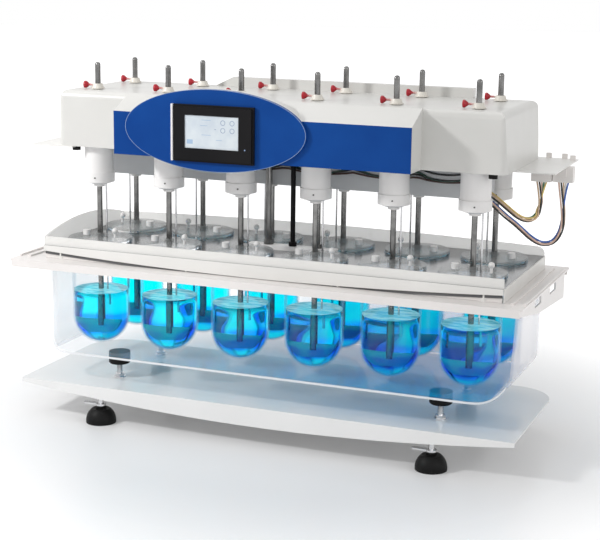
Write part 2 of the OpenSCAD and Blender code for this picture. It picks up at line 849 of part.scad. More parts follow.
// Toothed belt that runs round the outside of all the spindle pulleys.
belt_gap = 0.3;
module drive_belt() {
    r = pulley_d / 2 + belt_gap;
    color("dimgray") translate([0, 0, belt_z]) linear_extrude(belt_w) difference() {
        round_rect(2 * (last_x + r + belt_t), 2 * (row_y + r + belt_t), r + belt_t);
        round_rect(2 * (last_x + r), 2 * (row_y + r), r);
    }
}

// Drive motor on the chassis, inside the belt's loop.
motor_x = pitch;
motor_y = -row_y - (pulley_d - motor_pulley_d) / 2;
motor_shaft_d = 8;
module motor_place() {
    translate([motor_x, motor_y, head_z + chassis_t]) children();
}

module drive_motor() {
    color("dimgray") motor_place() difference() {
        linear_extrude(motor_h) round_rect(motor_w, motor_w, 5);
        translate([0, 0, motor_h - 20]) cylinder(h = 20 + cut, d = motor_shaft_d + 2 * run_clear);
    }
}

// Motor pulley on its shaft.
module motor_pulley() {
    rise = belt_z - head_z - chassis_t;
    color("silver") motor_place() {
        translate([0, 0, motor_h - 18]) cylinder(h = rise + belt_w - motor_h + 20, d = motor_shaft_d);
        translate([0, 0, rise - 1]) cylinder(h = belt_w + 2, d = motor_pulley_d);
    }
}

// Spindle: the paddle on its shaft, the hollow spindle with its pulley and collar,
// and the red thumbscrew that clamps the shaft.
collar_z = head_top + 1.2;
collar_h = 9;
screw_z = collar_z + 6.2;
module spindle(n) {
    translate([station_x(n), station_y(n), 0]) {
        paddle();
        hollow_spindle();
        thumbscrew();
    }
}

module paddle() {
    chord = sqrt(pow(paddle_r, 2) - pow(paddle_w / 2, 2));
    tip_r = shaft_r;
    color("slategray") {
        translate([0, 0, paddle_z + paddle_h / 2])
            cylinder(h = shaft_top - tip_r - paddle_z - paddle_h / 2, d = shaft_d);
        translate([0, 0, shaft_top - tip_r]) sphere(tip_r);
        translate([0, 0, paddle_z]) front_view(paddle_t) intersection() {
            translate([0, chord + paddle_h]) circle(paddle_r);
            translate([-paddle_w, 0]) square([2 * paddle_w, paddle_h]);
        }
    }
}

module hollow_spindle() {
    bore = shaft_r + run_clear;
    low = lower_bearing_z - 6;
    flange_r = pulley_d / 2 + belt_t;
    color("ivory") difference() {
        union() {
            translate([0, 0, low]) cylinder(h = collar_z - low + 1, d = sleeve_d);
            translate([0, 0, belt_z - 1]) cylinder(h = belt_w + 2, d = pulley_d);
            for (z = [belt_z - 3, belt_z + belt_w + 1]) translate([0, 0, z]) cylinder(h = 2, r = flange_r);
            translate([0, 0, collar_z]) cylinder(h = 2, d = sleeve_d + 10);
            translate([0, 0, collar_z + 2]) cylinder(h = collar_h - 2, d1 = sleeve_d + 7, d2 = sleeve_d + 2);
        }
        translate([0, 0, low - cut]) cylinder(h = shaft_top, r = bore);
        translate([0, 0, screw_z]) rotate([0, -90, 0]) cylinder(h = sleeve_d * 2, d = screw_d + 2 * run_clear);
    }
}

module thumbscrew() {
    head_at = screw_reach - 8;
    color("crimson") translate([0, 0, screw_z]) rotate([0, -90, 0]) {
        translate([0, 0, shaft_r + 2 * run_clear]) cylinder(h = head_at - shaft_r, d = screw_d);
        translate([0, 0, head_at]) cylinder(h = 5, d1 = screw_d + 2, d2 = 13);
        translate([0, 0, head_at + 5]) cylinder(h = 3, d = 13);
    }
}

// Thin steel sampling tubes, from the spindle housings into the vessels.
tube_low = paddle_z + paddle_h + 28;
module sampling_tubes() {
    color("silver") for (n = [1:stations])
        translate([station_x(n) + tube_side(n) * tube_offset, station_y(n), tube_low])
            cylinder(h = tube_seat_z - tube_low, d = tube_d);
}

// Clear cover with a guide bush, a plug and a ball knob.
module cover(n) {
    side = tube_side(n);
    plug_d = 14;
    hub_h = 8;
    knob_at = vessel_r * 0.62;
    disc_r = vessel_r + rim_w - 1;
    color([0.9, 0.95, 1, 0.6]) translate([station_x(n), station_y(n), cover_z]) difference() {
        union() {
            cylinder(h = cover_t, r = disc_r);
            cylinder(h = cover_t + hub_h, d = shaft_d + 8);
            translate([side * knob_at, -side * 4, 0]) {
                cylinder(h = cover_t + knob_h - knob_d / 2, d = 5);
                translate([0, 0, cover_t + knob_h - knob_d / 2]) sphere(d = knob_d);
            }
            translate([-side * knob_at, side * 8, 0]) cylinder(h = cover_t + 9, d = plug_d);
        }
        translate([0, 0, -cut]) cylinder(h = cover_t + hub_h + 2 * cut, d = shaft_d + 2 * free_clear);
        translate([side * tube_offset, 0, -cut])
            cylinder(h = cover_t + hub_h + 2 * cut, d = tube_d + 2 * free_clear);
    }
}

// Wiring

// Thin sheet wings under the two ends of the head: the left one further forward.
module side_wings() {
    color("whitesmoke") {
        difference() {
            wing(-1, left_wing_out, head_front_y - 2);
            translate([-stop_x, stop_y, head_z - wing_t - cut])
                cylinder(h = wing_t + 2 * cut, d = stop_d + 2 * free_clear);
        }
        wing(1, right_wing_out, head_front_y + 62);
    }
}

module wing(side, reach, low_y) {
    translate([side * (head_x + (reach - wing_in) / 2), low_y + wing_depth / 2, head_z - wing_t / 2])
        cube([reach + wing_in, wing_depth, wing_t], center = true);
}

// White plug connectors that hang from the right wing.
module harness_connectors() {
    size = connector_size;
    for (place = connector_places) color("white")
        translate([place[0], place[1], head_z - wing_t - size[2] / 2]) {
            cube(size, center = true);
            translate([0, -size[1] / 2 - 1.5, 4]) cube([12, 3, 14], center = true);
        }
}

module harness_inner() {
    color("tan") route_tube(inner_route, harness_d);
}

module harness_outer() {
    color("tan") route_tube(outer_route, harness_d);
}

// Nodes

base_plate();
bath_supports();
water_bath();
bath_frame();
vessel_tray();
lift_tubes();
for (n = [1:stations]) vessel(n);
for (n = [1:4]) foot(n);
head_housing();
head_chassis();
front_panel();
touch_display();
spindle_housings();
drive_belt();
drive_motor();
motor_pulley();
lift_rods();
sampling_tubes();
side_wings();
harness_connectors();
harness_inner();
harness_outer();
for (n = [1:stations]) spindle(n);
for (n = [1:stations]) cover(n);
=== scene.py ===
"""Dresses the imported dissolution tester: camera, materials, wiring, trim, liquid and a plain studio."""
import math

import bmesh
import bpy
from mathutils import Matrix, Vector


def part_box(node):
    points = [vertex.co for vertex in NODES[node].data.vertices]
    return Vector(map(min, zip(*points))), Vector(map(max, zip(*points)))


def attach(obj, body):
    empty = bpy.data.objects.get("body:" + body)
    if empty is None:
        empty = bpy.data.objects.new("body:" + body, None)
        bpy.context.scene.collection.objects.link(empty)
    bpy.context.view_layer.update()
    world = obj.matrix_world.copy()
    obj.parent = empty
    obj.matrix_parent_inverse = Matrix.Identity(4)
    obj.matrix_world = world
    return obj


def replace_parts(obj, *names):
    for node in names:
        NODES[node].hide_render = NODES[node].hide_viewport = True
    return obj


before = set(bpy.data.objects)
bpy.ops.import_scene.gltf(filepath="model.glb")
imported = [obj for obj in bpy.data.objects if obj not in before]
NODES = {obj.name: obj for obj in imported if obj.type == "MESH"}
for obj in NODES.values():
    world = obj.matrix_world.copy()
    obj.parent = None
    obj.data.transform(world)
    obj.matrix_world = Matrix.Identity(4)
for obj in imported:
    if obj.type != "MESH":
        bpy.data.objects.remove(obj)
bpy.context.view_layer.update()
STATIONS = range(1, 13)
FEET = range(1, 5)
COLUMNS = 6


# Sizes and places in metres, repeated from the part's source

PITCH = 0.142
LAST_X = (COLUMNS - 1) / 2 * PITCH
VESSEL_BOTTOM = 0.130
VESSEL_R = 0.053
GLASS_T = 0.0025
RIM_T = 0.004
COVER_SEAT = 0.0003
COVER_T = 0.004
BLADE_TOP = 0.185
PLATE_Z = 0.067
PAD_H = 0.022
FRAME_TOP = 0.298
TRAY_X = 0.428
SKIRT_BACK = -0.148
SKIRT_END = 0.010
SKIRT_MID = 0.023
BATH_Z = 0.119
BATH_TOP = 0.295
BATH_X = 0.447
BATH_LEFT = 0.007
BATH_Y = 0.140
BATH_DRAFT = 0.006
BATH_BEND = 0.046
BATH_CORNER = 0.075
GUIDE_X = 0.047
HEAD_Z = 0.501
HEAD_TOP = HEAD_Z + 0.101
HEAD_X = 0.416
HUB_RING_R = 0.028
LEAD_X = LAST_X - 0.012
LEAD_Y = 0.014
WING_T = 0.0025
PLUG_H = 0.027
PLUG_Z = HEAD_Z - WING_T - PLUG_H
PLUGS = [(HEAD_X + 0.022, 0.050), (HEAD_X + 0.058, 0.058)]
OVAL_X = -0.077
OVAL_Y = -0.173
OVAL_Z = HEAD_Z + 0.051
OVAL_HALF = (0.168, 0.070)
BEZEL_T = 0.009
BEZEL_X = OVAL_X + 0.002
BEZEL_Z = OVAL_Z - 0.005
BEZEL_HALF = (0.0745, 0.0485)
BEZEL_FRONT = OVAL_Y - BEZEL_T
SCREEN_SUNK = 0.0015
SCREEN_X = BEZEL_X - 0.002
SCREEN_Z = BEZEL_Z + 0.003
SCREEN_HALF = (0.050, 0.028)
SCREEN_FRONT = BEZEL_FRONT + SCREEN_SUNK


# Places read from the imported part

DECK_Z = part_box("vessel_1")[1].z - RIM_T
TRAY_LOW, TRAY_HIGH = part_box("vessel_tray")
PAD_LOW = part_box("water_bath")[0].z - PAD_H
DISPLAY_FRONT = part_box("touch_display")[0].y


def station(n):
    """Centre of station n on the plan."""
    column = (n - 1) % COLUMNS
    row = (n - 1) // COLUMNS
    return (column - (COLUMNS - 1) / 2) * PITCH, (row - 0.5) * PITCH


# Camera, fitted to the photograph

AZIMUTH = math.radians(21.71)
ELEVATION = math.radians(12.203)
ROLL = math.radians(0.743)
TARGET = Vector((0.014872, 0.0, 0.28669))
DISTANCE = 2.68387
SENSOR_MM = 36.0
FOCAL_PIXELS = 1483.222
PICTURE_PIXELS = 600.0
CLIP_END = 200.0


def add_camera():
    """Camera that looks at the target from the front right, a little rolled."""
    back = Vector((math.sin(AZIMUTH) * math.cos(ELEVATION), -math.cos(AZIMUTH) * math.cos(ELEVATION),
                   math.sin(ELEVATION)))
    level = Vector((math.cos(AZIMUTH), math.sin(AZIMUTH), 0.0))
    upright = back.cross(level)
    right = math.cos(ROLL) * level + math.sin(ROLL) * upright
    up = -math.sin(ROLL) * level + math.cos(ROLL) * upright
    data = bpy.data.cameras.new("camera")
    data.sensor_fit = "HORIZONTAL"
    data.sensor_width = SENSOR_MM
    data.lens = FOCAL_PIXELS / PICTURE_PIXELS * SENSOR_MM
    data.clip_end = CLIP_END
    camera = bpy.data.objects.new("camera", data)
    bpy.context.scene.collection.objects.link(camera)
    place = Matrix((right, up, back)).transposed().to_4x4()
    place.translation = TARGET + back * DISTANCE
    camera.matrix_world = place
    bpy.context.scene.camera = camera


add_camera()


# Materials

UNIT = (0.0, 1.0)
WHITE = (1.0, 1.0, 1.0, 1.0)
GRAIN_DEPTH = 0.0002
ALONG_SHAFT = (1.0, 1.0, 0.02)
PAINTED_LIGHT_SPAN_X = (-0.36, 0.20)
ROW_SPAN_X = (-0.40, 0.40)
BLADE_SHADE_SPAN_Z = (0.140, 0.190)


def set_inputs(node, values):
    """Sets a shader node's inputs by name; an underscore stands for a space."""
    for name, value in values.items():
        node.inputs[name.replace("_", " ")].default_value = value


def new_node(tree, kind, operation=None, **values):
    """Adds a shader node with the given input values."""
    node = tree.nodes.new("ShaderNode" + kind)
    if operation:
        node.operation = operation
    set_inputs(node, values)
    return node


class Nodes:
    """One material, with short calls that add and link its shader nodes."""

    def __init__(self, name):
        self.material = bpy.data.materials.new(name)
        self.material.use_nodes = True
        self.tree = self.material.node_tree
        self.shader = self.tree.nodes["Principled BSDF"]
        self.coords = self.new("TexCoord")

    def new(self, kind, operation=None, **values):
        return new_node(self.tree, kind, operation, **values)

    def set(self, **values):
        set_inputs(self.shader, values)

    def link(self, out, into):
        self.tree.links.new(out, into)

    def feed(self, out, name):
        """Links an output to an input of the main shader."""
        self.link(out, self.shader.inputs[name])

    def axis(self, kind, name):
        """One axis of the Object or the Generated coordinates."""
        split = self.new("SeparateXYZ")
        self.link(self.coords.outputs[kind], split.inputs[0])
        return split.outputs[name]

    def noise(self, scale, detail=3.0, roughness=0.5, stretch=None):
        node = self.new("TexNoise", Scale=scale, Detail=detail, Roughness=roughness)
        source = self.coords.outputs["Object"]
        if stretch:
            mapping = self.new("Mapping", Scale=stretch)
            self.link(source, mapping.inputs["Vector"])
            source = mapping.outputs["Vector"]
        self.link(source, node.inputs["Vector"])
        return node.outputs["Fac"]

    def ramp(self, fac, stops):
        """Colours that blend between stops of (position, colour)."""
        node = self.new("ValToRGB")
        ramp = node.color_ramp
        while len(ramp.elements) < len(stops):
            ramp.elements.new(0.5)
        for element, (position, colour) in zip(ramp.elements, stops):
            element.position = position
            element.color = (*colour, 1.0)
        self.link(fac, node.inputs["Fac"])
        return node.outputs["Color"]

    def remap(self, value, source, target):
        """Maps one range of values onto another and clamps at its ends."""
        node = self.new("MapRange", From_Min=source[0], From_Max=source[1],
                        To_Min=target[0], To_Max=target[1])
        self.link(value, node.inputs["Value"])
        return node.outputs["Result"]

    def add(self, first, second):
        node = self.new("Math", "ADD")
        self.link(first, node.inputs[0])
        self.link(second, node.inputs[1])
        return node.outputs[0]

    def bump(self, height, strength, distance):
        node = self.new("Bump", Strength=strength, Distance=distance)
        self.link(height, node.inputs["Height"])
        self.feed(node.outputs["Normal"], "Normal")


def mottled(name, dark, light, rough, grain, bump, patch=6.0, metallic=0.0, stretch=None, **more):
    """Opaque finish whose colour drifts between two shades, with a fine grain in its bump and gloss."""
    n = Nodes(name)
    n.set(Metallic=metallic, **more)
    drift = n.noise(patch, detail=4.0, roughness=0.55)
    n.feed(n.ramp(drift, [(0.35, dark), (0.65, light)]), "Base Color")
    fine = n.noise(grain, detail=2.0, roughness=0.6, stretch=stretch)
    n.feed(n.remap(fine, UNIT, rough), "Roughness")
    n.bump(fine, bump, GRAIN_DEPTH)
    return n.material


def see_through(name, colour, rough, face_alpha, edge_alpha, patch, edge_from):
    """Clear wall that shows its colour more where it is seen edge on, with a faint haze."""
    n = Nodes(name)
    n.set(Base_Color=(*colour, 1.0), IOR=1.47)
    weight = n.new("LayerWeight", Blend=0.5)
    n.feed(n.remap(weight.outputs["Facing"], (edge_from, 1.0), (face_alpha, edge_alpha)), "Alpha")
    n.feed(n.remap(n.noise(patch), UNIT, rough), "Roughness")
    return n.material


WHITE_PAINT = mottled("white_paint", (0.80, 0.79, 0.765), (0.85, 0.84, 0.815), (0.30, 0.40), 1400.0, 0.12)
PLATE_PAINT = mottled("plate_paint", (0.85, 0.85, 0.845), (0.89, 0.89, 0.885), (0.14, 0.22), 1400.0, 0.05)
FRAME_PAINT = mottled("frame_paint", (0.83, 0.795, 0.775), (0.88, 0.845, 0.825), (0.26, 0.36), 1200.0, 0.08)
# Painted shade: the head's white plastic is greyer than the hubs' plastic, which darkens the whole head.
SHADED_WHITE_PLASTIC = mottled("white_plastic", (0.655, 0.65, 0.625), (0.70, 0.692, 0.668), (0.26, 0.36), 900.0,
                        0.06)
HUB_PLASTIC = mottled("hub_plastic", (0.84, 0.825, 0.815), (0.89, 0.875, 0.865), (0.28, 0.38), 700.0, 0.05)
GREY_PAINT = mottled("grey_paint", (0.58, 0.59, 0.605), (0.66, 0.67, 0.685), (0.30, 0.40), 1300.0, 0.1)
DECK_STEEL = mottled("deck_steel", (0.20, 0.205, 0.21), (0.30, 0.305, 0.31), (0.12, 0.24), 600.0, 0.04,
                     metallic=0.6)
BLUE_PANEL = mottled("blue_panel", (0.004, 0.052, 0.255), (0.006, 0.066, 0.30), (0.30, 0.40), 1100.0, 0.05,
                     patch=9.0, Specular_IOR_Level=0.10)
BLACK_PLASTIC = mottled("black_plastic", (0.008, 0.008, 0.009), (0.014, 0.013, 0.014), (0.30, 0.42), 1500.0,
                        0.1, Specular_IOR_Level=0.08)
RUBBER = mottled("black_rubber", (0.004, 0.004, 0.004), (0.008, 0.008, 0.008), (0.40, 0.60), 800.0, 0.15,
                 Specular_IOR_Level=0.14)
STEEL = mottled("brushed_steel", (0.13, 0.129, 0.127), (0.23, 0.228, 0.224), (0.16, 0.30), 1600.0, 0.03,
                patch=40.0, metallic=1.0, stretch=ALONG_SHAFT)
TUBE_STEEL = mottled("tube_steel", (0.42, 0.42, 0.43), (0.54, 0.54, 0.55), (0.14, 0.26), 1600.0, 0.03,
                     patch=40.0, metallic=1.0, stretch=ALONG_SHAFT)
CHROME = mottled("chrome_stud", (0.55, 0.55, 0.56), (0.70, 0.70, 0.71), (0.10, 0.18), 300.0, 0.03,
                 metallic=1.0)
# Painted light: the blade and the shaft below its top get a paler copy of the steel, which brightens them in
# the dim liquid.
LIT_BLADE_STEEL = mottled("blade_steel", (0.42, 0.42, 0.42), (0.52, 0.52, 0.52), (0.30, 0.45), 900.0, 0.03,
                      metallic=0.2)
CREAM = mottled("cream_collar", (0.70, 0.665, 0.60), (0.80, 0.765, 0.70), (0.30, 0.42), 900.0, 0.05)
RED = mottled("red_thumbscrew", (0.36, 0.012, 0.022), (0.48, 0.022, 0.036), (0.28, 0.40), 900.0, 0.06,
              Specular_IOR_Level=0.35)
SCREEN = mottled("screen_glass", (0.60, 0.67, 0.74), (0.72, 0.78, 0.82), (0.10, 0.16), 500.0, 0.01,
                 patch=30.0)
SCREEN_MARK = mottled("screen_mark", (0.22, 0.30, 0.46), (0.28, 0.36, 0.52), (0.2, 0.3), 500.0, 0.01,
                      patch=30.0)
SCREEN_BLOCK = mottled("screen_block", (0.34, 0.48, 0.66), (0.40, 0.54, 0.72), (0.2, 0.3), 500.0, 0.01,
                       patch=30.0)
TRIM_LIGHT = mottled("light_trim", (0.20, 0.30, 0.50), (0.28, 0.38, 0.58), (0.2, 0.3), 900.0, 0.03)
SCREW_DARK = mottled("dark_screw", (0.07, 0.068, 0.065), (0.11, 0.105, 0.10), (0.3, 0.45), 900.0, 0.05)
# Painted shade: a dark strip that stands for the shadow in the gap under the tray's front skirt.
GAP_SHADE_STRIP = mottled("tray_gap_shade", (0.10, 0.10, 0.105), (0.15, 0.15, 0.155), (0.5, 0.7), 700.0, 0.15)
BELT = mottled("belt_rubber", (0.014, 0.014, 0.014), (0.03, 0.03, 0.03), (0.6, 0.8), 900.0, 0.2)
MOTOR = mottled("motor_case", (0.03, 0.03, 0.033), (0.05, 0.05, 0.055), (0.35, 0.5), 1200.0, 0.1)
CONNECTOR = mottled("connector_plastic", (0.80, 0.765, 0.74), (0.88, 0.845, 0.82), (0.30, 0.42), 1000.0, 0.08)
BATH_CLEAR = see_through("bath_front", (0.93, 0.95, 0.98), (0.04, 0.10), 0.003, 0.45, 14.0, 0.45)
BATH_HAZE = see_through("bath_ends", (0.92, 0.90, 0.94), (0.12, 0.24), 0.14, 0.60, 14.0, 0.30)
# Painted highlight: the bright line along the bath's lower edge.
BATH_EDGE_HIGHLIGHT = see_through("bath_edge_highlight", (0.97, 0.98, 1.0), (0.10, 0.20), 0.75, 0.95, 14.0, 0.3)
GLASS = see_through("vessel_glass", (0.36, 0.72, 1.0), (0.02, 0.05), 0.0015, 0.45, 30.0, 0.55)
ACRYLIC = see_through("cover_acrylic", (0.40, 0.405, 0.40), (0.16, 0.30), 0.30, 0.66, 30.0, 0.3)
FROSTED = see_through("tray_flap", (0.84, 0.83, 0.80), (0.25, 0.40), 0.46, 0.80, 9.0, 0.5)


def bath_painted_light_tint(name, left_alpha, right_alpha):
    """Clear wall with painted light on it: the blue that light through the liquid throws, more of it towards
    the right.
    """
    n = Nodes(name)
    along = n.remap(n.axis("Object", "X"), PAINTED_LIGHT_SPAN_X, UNIT)
    n.feed(n.ramp(along, [(0.0, (0.86, 0.88, 0.92)), (1.0, (0.02, 0.45, 0.80))]), "Base Color")
    n.feed(n.remap(along, UNIT, (left_alpha, right_alpha)), "Alpha")
    n.feed(n.remap(n.noise(10.0), UNIT, (0.05, 0.12)), "Roughness")
    return n.material


def liquid_material():
    """Dyed liquid: clear cyan, deeper blue in drifts and towards the right, and painted shade round the
    paddle's blade.
    """
    n = Nodes("dyed_liquid")
    n.set(IOR=1.33, Transmission_Weight=1.0, Roughness=0.0)
    black = (0.0, 0.0, 0.0)
    white = (1.0, 1.0, 1.0)
    # Painted shade: a band of deeper blue at the height of the paddle's blade.
    blade = n.ramp(n.remap(n.axis("Object", "Z"), BLADE_SHADE_SPAN_Z, UNIT),
                   [(0.20, black), (0.40, white), (0.65, white), (0.85, black)])
    depth = n.noise(22.0, detail=2.0)
    depth = n.add(depth, n.remap(n.axis("Object", "X"), ROW_SPAN_X, (0.0, 0.09)))
    depth = n.add(depth, n.remap(n.axis("Generated", "X"), UNIT, (0.0, 0.12)))
    depth = n.add(depth, n.remap(blade, UNIT, (0.0, 0.36)))
    shade = n.ramp(depth, [(0.56, (0.0, 0.86, 1.0)), (0.76, (0.0, 0.66, 1.0)), (0.88, (0.0, 0.42, 1.0)),
                           (1.0, (0.0, 0.14, 1.0))])
    n.feed(shade, "Base Color")
    return n.material


def surface_material():
    """Top of the liquid: cyan with paler streaks, partly clear, and a painted cyan glow that stands in for
    light on it.
    """
    n = Nodes("liquid_surface")
    # The emission is painted light, which lifts the surface out of the shade under the tray.
    n.set(Roughness=0.15, IOR=1.33, Emission_Color=(0.25, 0.84, 1.0, 1.0), Emission_Strength=0.45)
    streak = n.noise(60.0, roughness=0.6, stretch=(0.5, 1.6, 1.0))
    n.feed(n.ramp(streak, [(0.38, (0.06, 0.72, 1.0)), (0.62, (0.86, 0.98, 1.0))]), "Base Color")
    n.feed(n.ramp(streak, [(0.36, (0.58, 0.58, 0.58)), (0.64, (0.90, 0.90, 0.90))]), "Alpha")
    return n.material


def wire_material(name, colour):
    """Plastic sleeve of one colour, a little lighter in places."""
    light = tuple(min(1.0, c * 1.18 + 0.01) for c in colour)
    return mottled(name, colour, light, (0.32, 0.45), 900.0, 0.05, patch=60.0)


# Painted light: the floor and the rear wall carry the blue that light through the liquid would throw on them.
BATH_FLOOR = bath_painted_light_tint("bath_floor", 0.14, 0.50)
BATH_REAR = bath_painted_light_tint("bath_rear", 0.0, 0.55)
LIQUID = liquid_material()
SURFACE = surface_material()
WIRE_COLOURS = {
    "yellow": wire_material("wire_yellow", (0.68, 0.52, 0.20)),
    "green": wire_material("wire_green", (0.04, 0.17, 0.08)),
    "dark_green": wire_material("wire_dark_green", (0.02, 0.06, 0.04)),
    "dark_brown": wire_material("wire_dark_brown", (0.07, 0.035, 0.03)),
    "black": wire_material("wire_black", (0.012, 0.012, 0.013)),
    "blue": wire_material("wire_blue", (0.04, 0.12, 0.42)),
    "white": wire_material("wire_white", (0.78, 0.77, 0.74)),
    "pink": wire_material("wire_pink", (0.66, 0.46, 0.37)),
    "tan": wire_material("wire_tan", (0.60, 0.44, 0.30)),
}


# Pieces

def add_piece(obj, body, slot, *materials):
    """Links a new object, gives it its materials and makes it ride on a body."""
    bpy.context.scene.collection.objects.link(obj)
    for material in materials:
        obj.data.materials.append(material)
    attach(obj, body)


def mesh_object(name, bm, smooth=False):
    """Object with the bmesh's shape, not linked yet."""
    mesh = bpy.data.meshes.new(name)
    bm.normal_update()
    bm.to_mesh(mesh)
    bm.free()
    for polygon in mesh.polygons:
        polygon.use_smooth = smooth
    return bpy.data.objects.new(name, mesh)


# Wiring. The bundles' routes between the channel and the plugs are in millimetres, from the right end of the
# head's underside

INNER_HANG = [(-70, 2, -42), (-62, 0, -46), (-50, 0, -53), (-37, 0, -62), (-23, 2, -73), (-10, 7, -84),
              (1, 15, -91), (11, 26, -93), (17, 38, -89), (20, 46, -79), (22, 50, -64)]
OUTER_HANG = [(-70, 2, -54), (-62, 0, -58), (-51, 0, -66), (-39, 0, -76), (-26, 2, -87), (-12, 6, -98),
              (0, 13, -110), (10, 24, -122), (21, 36, -132), (31, 48, -137), (43, 56, -135), (53, 58, -124),
              (59, 58, -107), (60, 58, -85), (59, 58, -63)]
INNER_START_Z = HEAD_Z - 0.041
OUTER_START_Z = HEAD_Z - 0.053
LEAD_OUT = 0.007
PLUG_DROP = 0.016
WIRE_D = 0.0032
WIRE_POINTS = 40
CURVE_STEPS = 24
BUNDLE_R = 0.0033
BUNDLE_TWIST = 1.6
END_SPREAD = 0.75
MORE_SPREAD = 0.6
FAN_PITCH = 0.0042
FAN_FROM = 0.72
FAN_CURVE = 1.5
SIDE_GUIDE = Vector((0, 1, 1))


def smooth_route(points):
    """Even points along a smooth curve through the given ones."""
    points = [Vector(p) for p in points]
    padded = [2 * points[0] - points[1], *points, 2 * points[-1] - points[-2]]
    fine = []
    for i in range(1, len(padded) - 2):
        p0, p1, p2, p3 = padded[i - 1:i + 3]
        for k in range(CURVE_STEPS):
            t = k / CURVE_STEPS
            fine.append(0.5 * (2 * p1 + (p2 - p0) * t + (2 * p0 - 5 * p1 + 4 * p2 - p3) * t * t
                               + (3 * p1 - p0 - 3 * p2 + p3) * t ** 3))
    fine.append(points[-1])
    reach = [0.0]
    for a, b in zip(fine, fine[1:]):
        reach.append(reach[-1] + (b - a).length)
    even = []
    j = 0
    for k in range(WIRE_POINTS):
        want = reach[-1] * k / (WIRE_POINTS - 1)
        while j < len(reach) - 2 and reach[j + 1] < want:
            j += 1
        share = (want - reach[j]) / max(reach[j + 1] - reach[j], 1e-12)
        even.append(fine[j].lerp(fine[j + 1], share))
    return even


def bundle_route(hang, start_z, plug):
    """Middle line of a bundle, from inside the channel to its plug."""
    route = [(LEAD_X, LEAD_Y, start_z), (LEAD_X, LEAD_Y - LEAD_OUT, start_z)]
    route += [(HEAD_X + x / 1000, y / 1000, HEAD_Z + z / 1000) for x, y, z in hang]
    route += [(*plug, PLUG_Z - PLUG_DROP), (*plug, PLUG_Z)]
    return smooth_route(route)


def add_wire(name, points, colour):
    """One round wire along the given points."""
    curve = bpy.data.curves.new(name, "CURVE")
    curve.dimensions = "3D"
    curve.bevel_depth = WIRE_D / 2
    curve.bevel_resolution = 3
    curve.use_fill_caps = True
    spline = curve.splines.new("POLY")
    spline.points.add(len(points) - 1)
    for point, place in zip(spline.points, points):
        point.co = (*place, 1.0)
    wire = bpy.data.objects.new(name, curve)
    add_piece(wire, "head", "wire", WIRE_COLOURS[colour])
    return wire


def add_bundle(node, hang, start_z, plug, colours):
    """Several wires that follow one bundle's route, a little apart, and fan out into their plug."""
    middle = bundle_route(hang, start_z, plug)
    last = len(middle) - 1
    for k, colour in enumerate(colours):
        turn = 2 * math.pi * k / len(colours)
        fan = (k - (len(colours) - 1) / 2) * FAN_PITCH
        points = []
        for i, p in enumerate(middle):
            ahead = (middle[min(i + 1, last)] - middle[max(i - 1, 0)]).normalized()
            side = ahead.cross(SIDE_GUIDE).normalized()
            over = ahead.cross(side)
            angle = turn + BUNDLE_TWIST * i / last
            spread = BUNDLE_R * min(1.0, END_SPREAD + MORE_SPREAD * math.sin(math.pi * i / last))
            near = max(0.0, (i / last - FAN_FROM) / (1 - FAN_FROM)) ** FAN_CURVE
            offset = (side * math.cos(angle) + over * math.sin(angle)) * spread * (1 - near)
            points.append(p + offset + Vector((fan, 0, 0)) * near)
        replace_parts(add_wire(f"{node}_{colour}", points, colour), node)


add_bundle("harness_inner", INNER_HANG, INNER_START_Z, PLUGS[0], ["tan", "black", "pink", "green", "yellow"])
add_bundle("harness_outer", OUTER_HANG, OUTER_START_Z, PLUGS[1], ["pink", "black", "tan", "white", "blue"])


# Leads that run in front of the channel: clip places along it, then colour, depth below the head and sag

CLIP_X = (-0.150, -0.020, 0.110, 0.225, 0.330)
CHANNEL_LEADS = [("black", 0.0150, 0.010), ("dark_green", 0.0205, 0.016), ("black", 0.0260, 0.009),
                 ("dark_brown", 0.0320, 0.006)]
CHANNEL_GAP = 0.0003
CHANNEL_LEAD_Y = LEAD_Y - WIRE_D / 2 - CHANNEL_GAP
SAG_STEPS = 9


def add_channel_leads():
    """Leads that sag a little from clip to clip."""
    for k, (colour, drop, sag) in enumerate(CHANNEL_LEADS):
        points = []
        for left, right in zip(CLIP_X, CLIP_X[1:]):
            for step in range(SAG_STEPS):
                t = step / SAG_STEPS
                low = drop + sag * 4 * t * (1 - t)
                points.append((left + (right - left) * t, CHANNEL_LEAD_Y, HEAD_Z - low))
        points.append((CLIP_X[-1], CHANNEL_LEAD_Y, HEAD_Z - drop))
        add_wire(f"channel_lead_{k + 1}", smooth_route(points), colour)


add_channel_leads()


# Materials of the CAD nodes. FACING is how much of a unit normal has to lie along an axis for the face to
# count as facing that way. The other limits lie a little past the edge of the shape that they pick

FACING = 0.9
ON_DECK = 0.0005
ON_SCREEN = 0.0004
MARGIN = 0.0001
FOOT_RUBBER_TO = 0.031
FLAP_REACH = 0.0032
BATH_FLOOR_TO = BATH_Z + 0.012
BATH_RIM_FROM = BATH_TOP - 0.005
BATH_SIDE_FACING = 0.3
STRUT_REACH = 0.00752
GUIDE_REACH = 0.00902
STOP_FROM_X = 0.38
SCREW_FROM = 0.0135
SCREW_HALF = 0.009
SHAFT_REACH = 0.0053
COLLAR_FROM_Z = 0.43
BUSH_REACH = 0.012


def paint(node, *materials, pick=None):
    """Gives a CAD node its materials; pick chooses one for each face from its centre and normal."""
    mesh = NODES[node].data
    mesh.materials.clear()
    for material in materials:
        mesh.materials.append(material)
    for polygon in mesh.polygons:
        polygon.material_index = pick(polygon.center, polygon.normal) if pick else 0


def foot_faces(centre, normal):
    """Rubber below the lock lever, steel above it, and paint on the stem's end in the base plate."""
    if centre.z > PLATE_Z and normal.z > FACING:
        return 2
    return 0 if centre.z < FOOT_RUBBER_TO else 1


